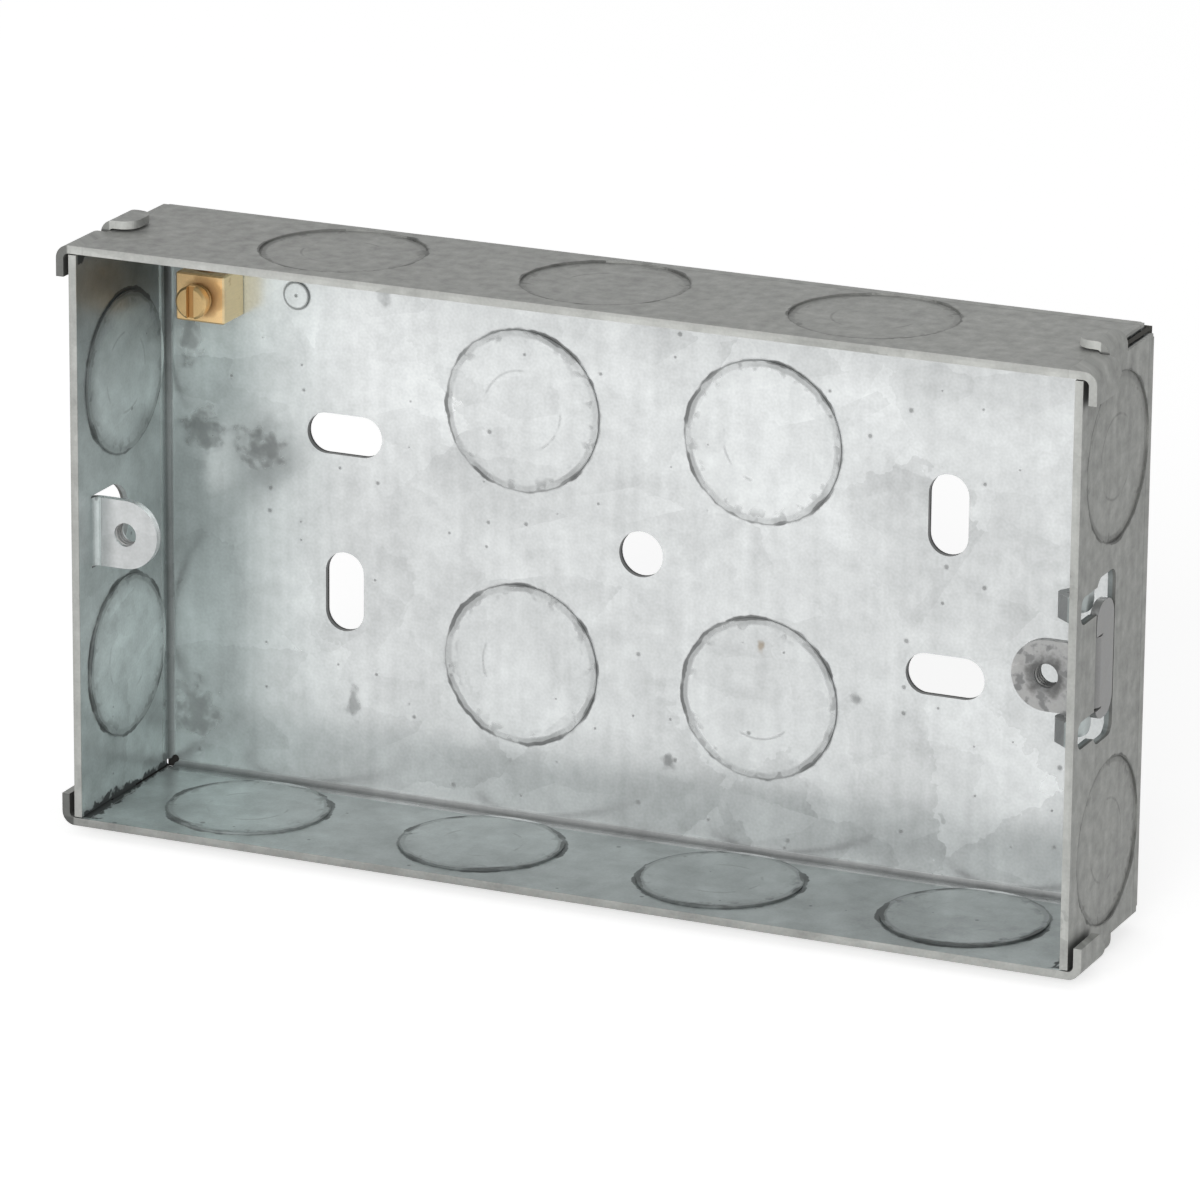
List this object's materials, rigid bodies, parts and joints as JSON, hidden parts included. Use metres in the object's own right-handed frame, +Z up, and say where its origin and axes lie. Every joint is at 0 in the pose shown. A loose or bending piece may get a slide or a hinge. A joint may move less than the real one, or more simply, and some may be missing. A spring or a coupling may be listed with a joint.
{
  "type": "metal back box",
  "caption": "Shallow open-fronted wall box of folded galvanised sheet with knock-outs, fixing slots, plate-screw lugs and a brass earth terminal.",
  "frame": {"origin": "centre of the back plate's outer face, on the axis of the centre hole", "axes": "+X along the length to the right as seen from the open front, +Z up, the open front faces -Y"},
  "size_m": [0.1344, 0.025, 0.0766],
  "materials": {
    "galvanised_sheet": "spangled zinc, satin",
    "brass": "machined"
  },
  "bodies": {
    "box": {"box_body": "galvanised_sheet", "earth_terminal_block": "brass"},
    "lug": {"adjustable_lug": "galvanised_sheet"},
    "terminal_screw": {"earth_terminal_screw": "brass"}
  },
  "joints": [
    {"name": "lug_slide", "type": "slide", "parent": "box", "child": "lug", "axis": [0, 0, 1], "range_m": [0, 0.003]},
    {"name": "terminal_screw_turn", "type": "hinge", "parent": "box", "child": "terminal_screw", "pos_m": [-0.0571, -0.0072, 0.0269], "axis": [0, -1, 0], "continuous": true}
  ]
}
